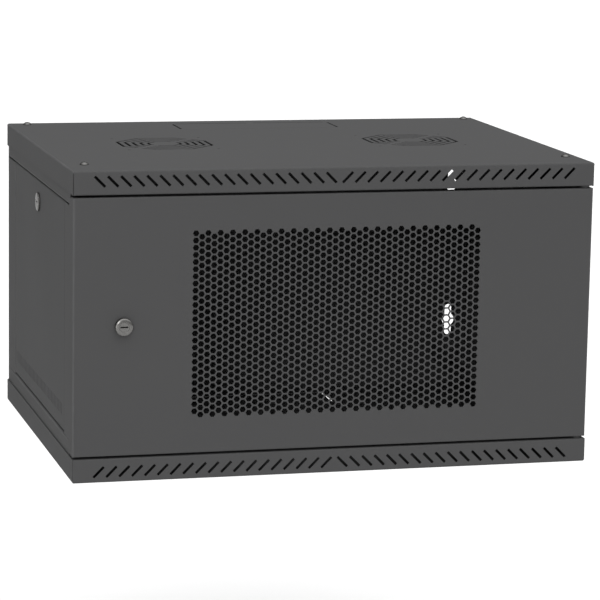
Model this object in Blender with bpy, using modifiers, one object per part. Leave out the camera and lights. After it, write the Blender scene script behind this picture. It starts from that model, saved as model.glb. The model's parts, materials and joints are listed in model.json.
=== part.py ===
"""Wall cabinet for 19 inch network equipment, 6 units high, 600 x 450 x 348 mm.

Frame: X to the right, Y from the door to the wall, Z up. The origin is the
middle of the bottom panel's underside. All sizes are in metres.
"""
import math

import bmesh
import bpy
from mathutils import Matrix, Vector

# ---- overall size ----
WIDTH = 0.600
DEPTH = 0.450
HEIGHT = 0.348
CAP = 0.027              # height of the top and bottom panels' skirts
SHEET = 0.0012           # sheet steel of the caps, the door and the frame
THIN = 0.0010            # sheet steel of the side panels and the rear panel
GAP = 0.0003             # seam between neighbouring pieces
DOOR_GAP = 0.0027        # air above and below the door
BEND = 0.0024            # bend radius at the middle of a folded sheet

# ---- frame of rails and posts ----
SIDE = WIDTH / 2 - SHEET - GAP        # outer face of rails and posts
FRONT = -0.1998                       # front face of the frame
BACK = 0.2222                         # rear face of the frame
TOP_RAIL = (0.3068, 0.3465)
BOTTOM_RAIL = (0.0015, 0.0436)
LIP = 0.2885                          # inner edge of the lips round a side opening
SIDE_OPENING = (-0.1645, 0.1745)      # from the front post to the rear post
PANEL_GAP = (0.0030, 0.0026)          # air behind and below a side panel

# ---- door ----
DOOR_DEPTH = 0.024
DOOR_SIDE = WIDTH / 2
HINGE = (0.2915, -0.217)              # upright axis at the door's right edge
HINGE_DEPTH = 0.017                   # depth of the fold beside the hinge
EDGE_DEPTH = 0.0125                   # depth of the folds along the top and the bottom
WASHER = (0.0057, 0.0028)             # radii of the washers the door turns on
FIELD_Z = 0.1749                      # middle of the perforated field
HEX_FLATS = 0.0234
HEX_PITCH = 0.0312
HEX_COLUMNS = 12
HEX_ROWS = 7

# ---- locks ----
DOOR_LOCK = (-0.2437, 0.1753)         # X and Z
SIDE_LOCK = (0.005, 0.2820)           # Y and Z
DOOR_LOCK_R = (0.0099, 0.0077)        # radii of the head and of the face inside its bevel
SIDE_LOCK_R = (0.0108, 0.0100)
LOCK_BEVEL = 0.55                     # rise of the bevel over its width
BARREL_R = 0.008
BORE_R = 0.006
PLUG_R = 0.0056
KEYWAY = (0.0095, 0.0024, 0.004)      # length, height and depth of the key slot
CAM_T = 0.0016

# ---- vents ----
SLOT_COUNT = 19                       # chevron slots in each half of a skirt
SLOT_FIRST = 0.0094
SLOT_PITCH = 0.0145
SLOT_SIZE = (0.0165, 0.0030)
SLOT_Z = 0.012                        # height of the slots' middle from the cap's face
VENT_COUNT = 33
VENT_PITCH = 0.0095
VENT_SIZE = (0.0020, 0.0135)
VENT_MIDDLE = (0.003, 0.069)          # Y and Z
FAN_X = 0.150
FAN_Y = 0.003
FAN_RINGS = 5
RING_FIRST = 0.0185
RING_PITCH = 0.0085
RING_WIDTH = 0.0036
RING_WEB = 0.006
FAN_HOLE = (0.0525, 0.0017)           # half spacing and radius of the fan screw holes

# ---- cable entry, held by small tabs until it is knocked out ----
ENTRY_X = 0.099
ENTRY_Y = (0.139, 0.195)
ENTRY_SLITS = {"side": 0.0026, "front": 0.0010, "rear": 0.0030}
ENTRY_TAB = 0.004

# ---- equipment rails, to the 19 inch pattern ----
UNITS = 6
UNIT = 0.04445
UNIT_HOLES = (0.00635, 0.022225, 0.0381)
HOLE_X = 0.23255
HOLE_SIDE = 0.0095
RAIL_FRONT = -0.165
RAIL_T = 0.0015
RAIL_OVERHANG = 0.004
CHANNEL_Z = (0.046, 0.302)
CHANNEL_H = 0.023
CHANNEL_X = (0.2538, 0.2846)
BOLT_Y = -0.145
RAIL_TRAVEL = 0.060

# ---- fasteners ----
CORNER_SCREWS = ((-0.278, -0.172), (0.284, -0.172), (-0.278, 0.208), (0.284, 0.208))
SCREW_HOLE_R = 0.0027
SCREW_R = 0.0023
KEYHOLE_X = 0.275
KEYHOLE_Z = (0.0857, 0.2623)

GREY = (0.075, 0.075, 0.078)
NICKEL = (0.62, 0.61, 0.59)
ZINC = (0.55, 0.56, 0.58)

AXES = {
    "X": Matrix(((0, 0, 1, 0), (1, 0, 0, 0), (0, 1, 0, 0), (0, 0, 0, 1))),
    "Y": Matrix(((1, 0, 0, 0), (0, 0, -1, 0), (0, 1, 0, 0), (0, 0, 0, 1))),
    "Z": Matrix.Identity(4),
}
ALONG = {"X": Vector((1, 0, 0)), "Y": Vector((0, 1, 0)), "Z": Vector((0, 0, 1))}


def clear():
    for item in list(bpy.data.objects):
        bpy.data.objects.remove(item, do_unlink=True)


def collection(name):
    group = bpy.data.collections.new(name)
    bpy.context.scene.collection.children.link(group)
    return group


def add(name, mesh, group):
    item = bpy.data.objects.new(name, mesh)
    group.objects.link(item)
    return item


# ---- solids ----
def box(name, low, high, group, rounded=None, radius=0.0):
    """A block from one corner to the other; rounded picks the edges to bevel."""
    low = Vector(low)
    high = Vector(high)
    size = high - low
    bm = bmesh.new()
    bmesh.ops.create_cube(bm, size=1.0)
    bmesh.ops.scale(bm, vec=size, verts=bm.verts)
    bmesh.ops.translate(bm, vec=(low + high) / 2, verts=bm.verts)
    if rounded:
        weight = bm.edges.layers.float.new("bevel_weight_edge")
        for edge in bm.edges:
            if rounded((edge.verts[0].co + edge.verts[1].co) / 2):
                edge[weight] = 1.0
    mesh = bpy.data.meshes.new(name)
    bm.to_mesh(mesh)
    bm.free()
    item = add(name, mesh, group)
    if rounded:
        bevel = item.modifiers.new("edges", "BEVEL")
        bevel.limit_method = "WEIGHT"
        bevel.width = radius
        bevel.segments = 2
    return item


def cylinder(name, radius, axis, start, end, at, group, sides=16):
    """A round bar along an axis; at holds the other two coordinates in order."""
    bm = bmesh.new()
    bmesh.ops.create_cone(bm, cap_ends=True, segments=sides, radius1=radius,
                          radius2=radius, depth=end - start)
    middle = ALONG[axis] * ((start + end) / 2)
    across = [unit for key, unit in ALONG.items() if key != axis]
    middle += across[0] * at[0] + across[1] * at[1]
    bm.transform(Matrix.Translation(middle) @ AXES[axis])
    mesh = bpy.data.meshes.new(name)
    bm.to_mesh(mesh)
    bm.free()
    return add(name, mesh, group)


def plate(name, outlines, axis, start, end, group):
    """A flat piece of constant thickness: outlines in the plane across the axis."""
    curve = bpy.data.curves.new(name, "CURVE")
    curve.dimensions = "2D"
    curve.fill_mode = "BOTH"
    curve.extrude = (end - start) / 2
    for outline in outlines:
        spline = curve.splines.new("POLY")
        spline.points.add(len(outline) - 1)
        for point, (u, v) in zip(spline.points, outline):
            point.co = (u, v, 0, 1)
        spline.use_cyclic_u = True
    place = Matrix.Translation(ALONG[axis] * ((start + end) / 2)) @ AXES[axis]
    return to_mesh(name, curve, place, group)


def to_mesh(name, curve, place, group):
    source = bpy.data.objects.new(name + "_curve", curve)
    bpy.context.scene.collection.objects.link(source)
    bpy.context.view_layer.update()
    graph = bpy.context.evaluated_depsgraph_get()
    mesh = bpy.data.meshes.new_from_object(source.evaluated_get(graph))
    bpy.data.objects.remove(source, do_unlink=True)
    bm = bmesh.new()
    bm.from_mesh(mesh)
    bmesh.ops.remove_doubles(bm, verts=bm.verts, dist=0.00001)
    bmesh.ops.recalc_face_normals(bm, faces=bm.faces)
    bm.transform(place)
    bm.to_mesh(mesh)
    bm.free()
    mesh.name = name
    return add(name, mesh, group)


def fold(name, path, axis, start, end, group, thickness=SHEET, radius=BEND):
    """A folded sheet: the path of its middle in section, run along the axis."""
    return plate(name, [strip(path, thickness, radius)], axis, start, end, group)


def turned(name, profile, axis_turn, at, group, steps=16, closed=False):
    """A turned piece: radius and height down its outer side, about local Z."""
    bm = bmesh.new()
    points = [bm.verts.new((radius, 0, height)) for radius, height in profile]
    for first, second in zip(points, points[1:]):
        bm.edges.new((first, second))
    if closed:
        bm.edges.new((points[-1], points[0]))
    mesh = bpy.data.meshes.new(name)
    bm.to_mesh(mesh)
    bm.free()
    item = add(name, mesh, group)
    item.location = at
    item.rotation_euler = axis_turn
    screw = item.modifiers.new("turn", "SCREW")
    screw.steps = steps
    screw.render_steps = steps
    screw.use_merge_vertices = True
    screw.merge_threshold = 0.0001
    screw.use_smooth_shade = True
    return item


# ---- outlines ----
def strip(path, width, radius, segments=3):
    """The closed outline of a band of even width along a path with round bends."""
    points = bends(path, radius, segments)
    left = []
    right = []
    for index, point in enumerate(points):
        before = points[max(index - 1, 0)]
        after = points[min(index + 1, len(points) - 1)]
        side = miter(before, point, after, width / 2)
        left.append((point[0] + side[0], point[1] + side[1]))
        right.append((point[0] - side[0], point[1] - side[1]))
    return left + right[::-1]


def miter(before, point, after, reach):
    """The step from a path's point to the edge of the band on its left."""
    first = Vector((point[0] - before[0], point[1] - before[1]))
    second = Vector((after[0] - point[0], after[1] - point[1]))
    if first.length == 0:
        first = second
    if second.length == 0:
        second = first
    first = first.normalized()
    second = second.normalized()
    normal = Vector((-first.y - second.y, first.x + second.x)).normalized()
    along = normal.dot(Vector((-first.y, first.x)))
    return normal * (reach / along)


def bends(path, radius, segments):
    """The path with each inner corner turned into an arc."""
    if radius == 0:
        return list(path)
    points = [path[0]]
    for before, corner, after in zip(path, path[1:], path[2:]):
        points += arc(before, corner, after, radius, segments)
    points.append(path[-1])
    return points


def arc(before, corner, after, radius, segments):
    corner = Vector(corner)
    back = (Vector(before) - corner).normalized()
    on = (Vector(after) - corner).normalized()
    half = back.angle(on) / 2
    centre = corner + (back + on).normalized() * (radius / math.sin(half))
    start = corner + back * (radius / math.tan(half)) - centre
    turn = math.pi - 2 * half
    if start.x * back.y - start.y * back.x > 0:
        turn = -turn
    points = []
    for step in range(segments + 1):
        angle = turn * step / segments
        cos, sin = math.cos(angle), math.sin(angle)
        spoke = Vector((start.x * cos - start.y * sin, start.x * sin + start.y * cos))
        points.append(tuple(centre + spoke))
    return points


def regular(u, v, radius, sides, start=0.0):
    """A regular outline of so many sides round a point."""
    points = []
    for step in range(sides):
        angle = start + 2 * math.pi * step / sides
        points.append((u + radius * math.cos(angle), v + radius * math.sin(angle)))
    return points


def slot(u, v, length, width, angle=0.0):
    """A straight slot's outline, turned by an angle about its middle."""
    cos, sin = math.cos(angle), math.sin(angle)
    points = []
    for a, b in ((-1, -1), (1, -1), (1, 1), (-1, 1)):
        x, y = a * length / 2, b * width / 2
        points.append((u + x * cos - y * sin, v + x * sin + y * cos))
    return points


def rounded_slot(u, v, length, width, steps=4):
    """A slot along u with round ends."""
    points = []
    for sign in (1, -1):
        for step in range(steps + 1):
            angle = -math.pi / 2 + math.pi * step / steps
            x = sign * (length / 2 - width / 2 + width / 2 * math.cos(angle))
            points.append((u + x, v + sign * width / 2 * math.sin(angle)))
    return points


def keyhole(u, v):
    """A wall keyhole that can hang either way up: a round hole with two slots."""
    hole, neck, reach = 0.008, 0.0045, 0.0199
    lean = math.asin(neck / hole)
    points = []
    for sign in (1, -1):
        points += [(u + sign * neck, v - sign * hole * math.cos(lean))]
        for step in range(1, 4):
            angle = -math.pi / 2 + lean + (math.pi - 2 * lean) * step / 4
            points.append((u + sign * hole * math.cos(angle), v + sign * hole * math.sin(angle)))
        points += [(u + sign * neck, v + sign * hole * math.cos(lean))]
        points += [(u + sign * neck, v + sign * (reach - neck * 0.6))]
        points += [(u + sign * neck * 0.6, v + sign * reach)]
        points += [(u - sign * neck * 0.6, v + sign * reach)]
        points += [(u - sign * neck, v + sign * (reach - neck * 0.6))]
    return points


# ---- finishing a piece ----
def paint(item, colour, roughness, metallic):
    material = bpy.data.materials.new(item.name)
    material.use_nodes = True
    shader = material.node_tree.nodes["Principled BSDF"]
    shader.inputs["Base Color"].default_value = (*colour, 1.0)
    shader.inputs["Roughness"].default_value = roughness
    shader.inputs["Metallic"].default_value = metallic
    item.data.materials.clear()
    item.data.materials.append(material)


def boolean(item, tool, operation, cutters):
    for group in list(tool.users_collection):
        group.objects.unlink(tool)
    cutters.objects.link(tool)
    tool.hide_render = True
    tool.display_type = "WIRE"
    change = item.modifiers.new(operation.lower(), "BOOLEAN")
    change.operation = operation
    change.object = tool
    change.solver = "EXACT"


def origin_to(item, point):
    """Moves an object's origin without moving its shape."""
    item.data.transform(Matrix.Translation(-Vector(point)))
    item.location = point


def flip(path, side):
    return [(side * u, v) for u, v in path]


# ---- the two caps ----
def cap(name, top, parts, cutters):
    """The top or bottom panel: a plate with four skirts and a fold at the front."""
    face = HEIGHT if top else 0.0
    rim = HEIGHT - CAP if top else CAP
    inward = -1 if top else 1
    low, high = min(face, rim), max(face, rim)
    item = box(name, (-WIDTH / 2, -DEPTH / 2, low), (WIDTH / 2, DEPTH / 2, high), parts,
               rounded=lambda middle: abs(middle.z - face) < 0.0001, radius=0.0025)
    inside = [face + inward * SHEET, rim + inward * 0.001]
    hollow = box(name + "_hollow",
                 (-WIDTH / 2 + SHEET, -DEPTH / 2 + SHEET, min(inside)),
                 (WIDTH / 2 - SHEET, DEPTH / 2 - SHEET, max(inside)), cutters)
    boolean(item, hollow, "DIFFERENCE", cutters)
    boolean(item, front_fold(name, rim, inward, cutters), "UNION", cutters)
    boolean(item, chevrons(name, face, inward, cutters), "DIFFERENCE", cutters)
    boolean(item, face_holes(name, face, top, cutters), "DIFFERENCE", cutters)
    paint(item, GREY, 0.5, 0.0)
    return item


def front_fold(name, rim, inward, cutters):
    """The strip folded in from the front skirt's rim; the door's pins turn in it."""
    levels = [rim - inward * 0.0001, rim - inward * (SHEET + 0.0001)]
    item = box(name + "_fold", (-WIDTH / 2 + SHEET / 2, -DEPTH / 2 + SHEET / 2, min(levels)),
               (WIDTH / 2 - SHEET / 2, -0.207, max(levels)), cutters)
    hole = cylinder(name + "_pin_hole", 0.0028, "Z", rim - 0.004, rim + 0.004, HINGE, cutters)
    boolean(item, hole, "DIFFERENCE", cutters)
    return item


def chevrons(name, face, inward, cutters):
    """The slanted slots in the front skirt; they lean apart from the middle."""
    outlines = []
    for index in range(SLOT_COUNT):
        x = SLOT_FIRST + index * SLOT_PITCH
        z = face + inward * SLOT_Z
        for side in (-1, 1):
            lean = side * math.pi / 4 * -inward
            outlines.append(slot(side * x, z, SLOT_SIZE[0], SLOT_SIZE[1], lean))
    return plate(name + "_slots", outlines, "Y", -DEPTH / 2 - 0.002, -DEPTH / 2 + 0.004, cutters)


def face_holes(name, face, top, cutters):
    """The holes through a cap's face: screws, cable entry and, on top, the fans."""
    outlines = [regular(x, y, SCREW_HOLE_R, 8) for x, y in CORNER_SCREWS]
    outlines += entry_slits()
    if top:
        for x in (-FAN_X, FAN_X):
            outlines += fan_grille(x, FAN_Y)
    return plate(name + "_holes", outlines, "Z", face - 0.003, face + 0.003, cutters)


def entry_slits():
    """Slits round the cable entry, with tabs at its corners and middles."""
    low, high = ENTRY_Y
    outlines = []
    for side in (-1, 1):
        length = high - low - 2 * ENTRY_TAB + 0.002
        outlines.append(slot(side * ENTRY_X, (low + high) / 2, ENTRY_SLITS["side"], length))
        length = ENTRY_X - 2 * ENTRY_TAB
        for edge, y in (("front", low), ("rear", high)):
            outlines.append(slot(side * ENTRY_X / 2, y, length, ENTRY_SLITS[edge]))
    return outlines


def fan_grille(x, y):
    """Octagonal rings of slots over a 120 mm fan, and its four screw holes.

    A web from the front left to the rear right holds the rings.
    """
    outlines = []
    for ring in range(FAN_RINGS):
        reach = RING_FIRST + ring * RING_PITCH
        corners = regular(0, 0, reach / math.cos(math.pi / 8), 8, math.pi / 8)[1:5]
        side, web = reach * math.sqrt(0.5), RING_WEB / 2 * math.sqrt(0.5)
        half = [(side - web, side + web), *corners, (-side - web, -side + web)]
        for sign in (-1, 1):
            path = [(x + sign * u, y + sign * v) for u, v in half]
            outlines.append(strip(path, RING_WIDTH, 0))
    for u in (-FAN_HOLE[0], FAN_HOLE[0]):
        for v in (-FAN_HOLE[0], FAN_HOLE[0]):
            outlines.append(regular(x + u, y + v, FAN_HOLE[1], 8))
    return outlines


# ---- frame ----
def side_rails(parts, cutters):
    """Folded rails along the sides, screwed to the caps at the corners."""
    for label, side in (("left", -1), ("right", 1)):
        for level, (low, high) in (("top", TOP_RAIL), ("bottom", BOTTOM_RAIL)):
            lip = low + SHEET / 2 if level == "top" else high - SHEET / 2
            seat = high - SHEET / 2 if level == "top" else low + SHEET / 2
            path = [(0.2705, seat), (SIDE - SHEET / 2, seat),
                    (SIDE - SHEET / 2, lip), (LIP, lip)]
            name = "rail_%s_%s" % (level, label)
            item = fold(name, flip(path, side), "Y", FRONT, BACK, parts)
            holes = [regular(x, y, SCREW_HOLE_R, 8) for x, y in CORNER_SCREWS if x * side > 0]
            drill = plate(name + "_holes", holes, "Z", seat - 0.004, seat + 0.004, cutters)
            boolean(item, drill, "DIFFERENCE", cutters)
            paint(item, GREY, 0.5, 0.0)


def posts(parts):
    """Four folded posts between the bottom rails and the top rails."""
    low = BOTTOM_RAIL[1] + GAP
    high = TOP_RAIL[0] - 2 * GAP
    wall = SIDE - SHEET / 2
    front = [(0.2773, FRONT + SHEET / 2), (wall, FRONT + SHEET / 2),
             (wall, SIDE_OPENING[0] - SHEET / 2), (LIP, SIDE_OPENING[0] - SHEET / 2)]
    rear = [(LIP, SIDE_OPENING[1] + SHEET / 2), (wall, SIDE_OPENING[1] + SHEET / 2),
            (wall, BACK - SHEET / 2), (0.2853, BACK - SHEET / 2)]
    for label, side in (("left", -1), ("right", 1)):
        for place, path in (("front", front), ("rear", rear)):
            item = fold("post_%s_%s" % (place, label), flip(path, side), "Z", low, high, parts)
            paint(item, GREY, 0.5, 0.0)


def rear_panel(parts):
    """A flat panel with four keyholes that hang on wall screws."""
    edge = SIDE
    low, high = BOTTOM_RAIL[0] + GAP, TOP_RAIL[1]
    outline = [(-edge, low), (edge, low), (edge, high), (-edge, high)]
    holes = [keyhole(x, z) for x in (-KEYHOLE_X, KEYHOLE_X) for z in KEYHOLE_Z]
    item = plate("rear_panel", [outline] + holes, "Y", BACK + GAP, BACK + GAP + THIN, parts)
    paint(item, GREY, 0.5, 0.0)


def side_panel(label, side, parts, cutters):
    """A removable pan with a row of vents below and a lock above."""
    front, back = SIDE_OPENING[0] + GAP, SIDE_OPENING[1] - PANEL_GAP[0]
    low, high = BOTTOM_RAIL[1] + PANEL_GAP[1], TOP_RAIL[0] - 2 * GAP
    face = SIDE - 0.0002
    edge = face - 0.010
    name = "side_panel_" + label
    xs = sorted((side * face, side * edge))
    item = box(name, (xs[0], front, low), (xs[1], back, high), parts,
               rounded=lambda middle: abs(abs(middle.x) - face) < 0.0001, radius=0.0018)
    xs = sorted((side * (face - THIN), side * (edge - 0.001)))
    hollow = box(name + "_hollow", (xs[0], front + THIN, low + THIN),
                 (xs[1], back - THIN, high - THIN), cutters)
    boolean(item, hollow, "DIFFERENCE", cutters)
    outlines = [regular(SIDE_LOCK[0], SIDE_LOCK[1], BARREL_R + 0.0004, 16)]
    for index in range(VENT_COUNT):
        y = VENT_MIDDLE[0] + (index - (VENT_COUNT - 1) / 2) * VENT_PITCH
        outlines.append(slot(y, VENT_MIDDLE[1], VENT_SIZE[0], VENT_SIZE[1]))
    xs = sorted((side * (face + 0.001), side * (face - 0.003)))
    holes = plate(name + "_holes", outlines, "X", xs[0], xs[1], cutters)
    boolean(item, holes, "DIFFERENCE", cutters)
    origin_to(item, (side * face, 0.0, low))
    paint(item, GREY, 0.5, 0.0)


# ---- door ----
def door(parts, cutters):
    """A folded pan, perforated in the middle, that hangs on pins at its right."""
    low, high = CAP + DOOR_GAP, HEIGHT - CAP - DOOR_GAP
    wall = DOOR_SIDE - SHEET / 2
    skin = -DEPTH / 2 + SHEET / 2
    path = [(-wall, skin + DOOR_DEPTH - SHEET / 2), (-wall, skin), (wall, skin),
            (wall, -DEPTH / 2 + HINGE_DEPTH)]
    item = fold("door", path, "Z", low, high, parts)
    for label, level in (("top", high - SHEET / 2), ("bottom", low + SHEET / 2)):
        boolean(item, door_edge(label, level, wall, skin, cutters), "UNION", cutters)
    boolean(item, honeycomb(cutters), "DIFFERENCE", cutters)
    drill = cylinder("door_lock_hole", BARREL_R + 0.0004, "Y", -DEPTH / 2 - 0.002,
                     -DEPTH / 2 + 0.004, DOOR_LOCK, cutters)
    boolean(item, drill, "DIFFERENCE", cutters)
    drill = cylinder("door_pin_hole", 0.0028, "Z", low - 0.002, high + 0.002, HINGE, cutters)
    boolean(item, drill, "DIFFERENCE", cutters)
    origin_to(item, (HINGE[0], HINGE[1], low))
    paint(item, GREY, 0.5, 0.0)


def door_edge(label, level, wall, skin, cutters):
    """The fold along the door's top or bottom, which the hinge pins run through."""
    back = -DEPTH / 2 + EDGE_DEPTH
    outline = [(-wall, skin + BEND), (-wall + BEND, skin), (wall - BEND, skin),
               (wall, skin + BEND), (wall, back), (-wall, back)]
    inset = 0.0001 if label == "bottom" else -0.0001
    return plate("door_%s_edge" % label, [outline], "Z", level + inset - SHEET / 2,
                 level + inset + SHEET / 2, cutters)


def honeycomb(cutters):
    """Six-sided holes in staggered columns."""
    outlines = []
    step = HEX_PITCH * math.sqrt(3) / 2
    for column in range(HEX_COLUMNS):
        x = (column - (HEX_COLUMNS - 1) / 2) * step
        rows = HEX_ROWS - column % 2
        for row in range(rows):
            z = FIELD_Z + (row - (rows - 1) / 2) * HEX_PITCH
            outlines.append(regular(x, z, HEX_FLATS / math.sqrt(3), 6))
    return plate("door_honeycomb", outlines, "Y", -DEPTH / 2 - 0.002, -DEPTH / 2 + 0.004, cutters)


# ---- locks ----
LOCK_TURN = {"door": (math.pi / 2, 0, 0), "left": (0, -math.pi / 2, 0), "right": (0, math.pi / 2, 0)}


def lock(label, at, radii, head, length, parts, cutters):
    """A cam lock: barrel, turning plug and nut, about an axis out of the sheet.

    at is the axis's point on the sheet's outer face, and heights run outwards.
    The head is a plain drum whose edge is bevelled down to the smaller radius.
    """
    turn = LOCK_TURN[label]
    prefix = "door_lock" if label == "door" else "side_lock_" + label
    barrel = turned(prefix + "_barrel", barrel_profile(radii, head, length), turn, at, parts,
                    closed=True)
    paint(barrel, NICKEL, 0.28, 1.0)
    stud = 0.0030
    tail = -length - 0.0048
    plug = turned(prefix + "_plug",
                  [(0, head - 0.0001), (PLUG_R, head - 0.0001), (PLUG_R, -length),
                   (stud, -length), (stud, tail), (0, tail)], turn, at, parts)
    boolean(plug, keyway(prefix, head, turn, at, cutters), "DIFFERENCE", cutters)
    paint(plug, NICKEL, 0.35, 1.0)
    lock_nut(prefix, turn, at, parts)


def barrel_profile(radii, head, length):
    outer, face = radii
    return [(BORE_R, head - 0.0001), (BORE_R + 0.0001, head), (face, head),
            (outer, head - (outer - face) * LOCK_BEVEL), (outer, GAP),
            (BARREL_R, GAP), (BARREL_R, -length + GAP), (BORE_R, -length + GAP)]


def keyway(prefix, head, turn, at, cutters):
    """The slot for the key; it lies level when the lock is open."""
    across = "X" if prefix == "door_lock" else "Y"
    length, height, depth = KEYWAY
    size = (length, height) if across == "X" else (height, length)
    item = box(prefix + "_keyway", (-size[0] / 2, -size[1] / 2, head - depth),
               (size[0] / 2, size[1] / 2, head + 0.001), cutters)
    item.location = at
    item.rotation_euler = turn
    return item


def lock_nut(prefix, turn, at, parts):
    """The six-sided nut that clamps the barrel to the sheet."""
    sheet = SHEET if prefix == "door_lock" else THIN
    high = -sheet - GAP
    outlines = [regular(0, 0, 0.0122, 6), regular(0, 0, BARREL_R + 0.0004, 16)]
    nut = plate(prefix + "_nut", outlines, "Z", high - 0.003, high, parts)
    nut.location = at
    nut.rotation_euler = turn
    paint(nut, ZINC, 0.4, 1.0)


def cam_outline(reach):
    """A flat cam: round about its hole, straight to its tip."""
    wide, slim = 0.0085, 0.0065
    points = []
    for step in range(9):
        angle = math.pi / 2 + math.pi * step / 8
        points.append((wide * math.cos(angle), wide * math.sin(angle)))
    points += [(0.010, -slim), (reach - 0.002, -slim), (reach, -slim + 0.002),
               (reach, slim - 0.002), (reach - 0.002, slim), (0.010, slim)]
    return points


def door_cam(parts):
    """Hangs down when open and reaches behind the front post when shut."""
    x, z = DOOR_LOCK
    outline = [(x + v, z - u) for u, v in cam_outline(0.0415)]
    back = -0.1975 + CAM_T
    item = plate("door_lock_cam", [outline, regular(x, z, 0.0034, 12)], "Y", -0.1975, back, parts)
    origin_to(item, (x, -0.1975, z))
    paint(item, ZINC, 0.4, 1.0)


def side_cam(label, side, parts):
    """Lies level when open and reaches up behind the top rail when shut."""
    y, z = SIDE_LOCK
    outline = [(y + u, z + v) for u, v in cam_outline(0.0320)]
    outer = 0.2872
    xs = sorted((side * outer, side * (outer - CAM_T)))
    item = plate("side_lock_%s_cam" % label, [outline, regular(y, z, 0.0034, 12)], "X",
                 xs[0], xs[1], parts)
    origin_to(item, (side * outer, y, z))
    paint(item, ZINC, 0.4, 1.0)


# ---- hinge ----
def hinge(parts, cutters):
    """A fixed pin below; above, a sprung pin that is pulled down to free the door."""
    x, y = HINGE
    lower = cylinder("hinge_pin_lower", 0.0025, "Z", 0.0205, 0.0410, (x, y), parts)
    paint(lower, ZINC, 0.35, 1.0)
    for label, foot in (("lower", CAP + GAP), ("upper", HEIGHT - CAP - DOOR_GAP + GAP)):
        rings = [regular(x, y, WASHER[0], 24), regular(x, y, WASHER[1], 16)]
        washer = plate("hinge_washer_" + label, rings, "Z", foot, foot + DOOR_GAP - 2 * GAP, parts)
        paint(washer, GREY, 0.5, 0.0)
    upper_pin(x, y, parts, cutters)
    bracket(x, y, parts, cutters)
    spring(x, y, parts)


def upper_pin(x, y, parts, cutters):
    top, foot, ring = 0.3262, 0.2676, 0.2990
    item = turned("hinge_pin_upper",
                  [(0, top - foot), (0.0018, top - foot), (0.0025, top - foot - 0.0010),
                   (0.0025, ring - foot + 0.0010), (0.0036, ring - foot + 0.0010),
                   (0.0036, ring - foot), (0.0025, ring - foot), (0.0025, 0), (0, 0)],
                  (0, 0, 0), (x, y, foot), parts)
    lever = cylinder("hinge_pin_lever", 0.0020, "X", x - 0.0180, x + 0.0005, (y, foot + 0.0026),
                     cutters, sides=12)
    boolean(item, lever, "UNION", cutters)
    paint(item, ZINC, 0.35, 1.0)


def bracket(x, y, parts, cutters):
    """A folded clip on the door's side; the sprung pin runs through both ends."""
    wall = DOOR_SIDE - SHEET - GAP - SHEET / 2
    path = [(x - 0.006, 0.3050), (wall, 0.3050), (wall, 0.2760), (x - 0.006, 0.2760)]
    item = fold("hinge_bracket", path, "Y", y - 0.0048, y + 0.0062, parts, radius=0.0015)
    drill = cylinder("bracket_pin_hole", 0.0028, "Z", 0.27, 0.31, (x, y), cutters)
    boolean(item, drill, "DIFFERENCE", cutters)
    paint(item, ZINC, 0.4, 1.0)


def spring(x, y, parts):
    """The pin's coil spring, between the bracket's lower end and the pin's ring."""
    low, high, turns, around = 0.2773, 0.2984, 5, 8
    radius, wire = 0.0043, 0.0004
    curve = bpy.data.curves.new("hinge_spring", "CURVE")
    curve.dimensions = "3D"
    curve.bevel_depth = wire
    curve.bevel_resolution = 1
    curve.use_fill_caps = True
    spline = curve.splines.new("POLY")
    count = turns * around + 1
    spline.points.add(count - 1)
    for index, point in enumerate(spline.points):
        angle = 2 * math.pi * index / around
        rise = low + wire + (high - low - 2 * wire) * index / (count - 1)
        point.co = (x + radius * math.cos(angle), y + radius * math.sin(angle), rise, 1)
    item = to_mesh("hinge_spring", curve, Matrix.Identity(4), parts)
    paint(item, ZINC, 0.3, 1.0)


# ---- equipment rails ----
def equipment_rail(label, side, parts, cutters):
    """An angle with three square holes in each unit; it can be set back."""
    middle = HEIGHT / 2
    half = UNITS * UNIT / 2
    low, high = middle - half - RAIL_OVERHANG, middle + half + RAIL_OVERHANG
    flank = CHANNEL_X[0] - 0.00035 - RAIL_T / 2
    path = [(0.2255, RAIL_FRONT + RAIL_T / 2), (flank, RAIL_FRONT + RAIL_T / 2),
            (flank, -0.1250)]
    name = "equipment_rail_" + label
    item = fold(name, flip(path, side), "Z", low, high, parts, thickness=RAIL_T, radius=0.002)
    squares = []
    for unit in range(UNITS):
        for hole in UNIT_HOLES:
            z = middle - half + unit * UNIT + hole
            squares.append(slot(side * HOLE_X, z, HOLE_SIDE, HOLE_SIDE))
    punch = plate(name + "_squares", squares, "Y", RAIL_FRONT - 0.003, RAIL_FRONT + 0.004, cutters)
    boolean(item, punch, "DIFFERENCE", cutters)
    rounds = [regular(BOLT_Y, z, 0.0034, 8) for z in CHANNEL_Z]
    xs = sorted((side * (flank - 0.004), side * (flank + 0.004)))
    boolean(item, plate(name + "_holes", rounds, "X", xs[0], xs[1], cutters), "DIFFERENCE", cutters)
    origin_to(item, (side * flank, RAIL_FRONT, middle))
    paint(item, GREY, 0.5, 0.0)


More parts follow.
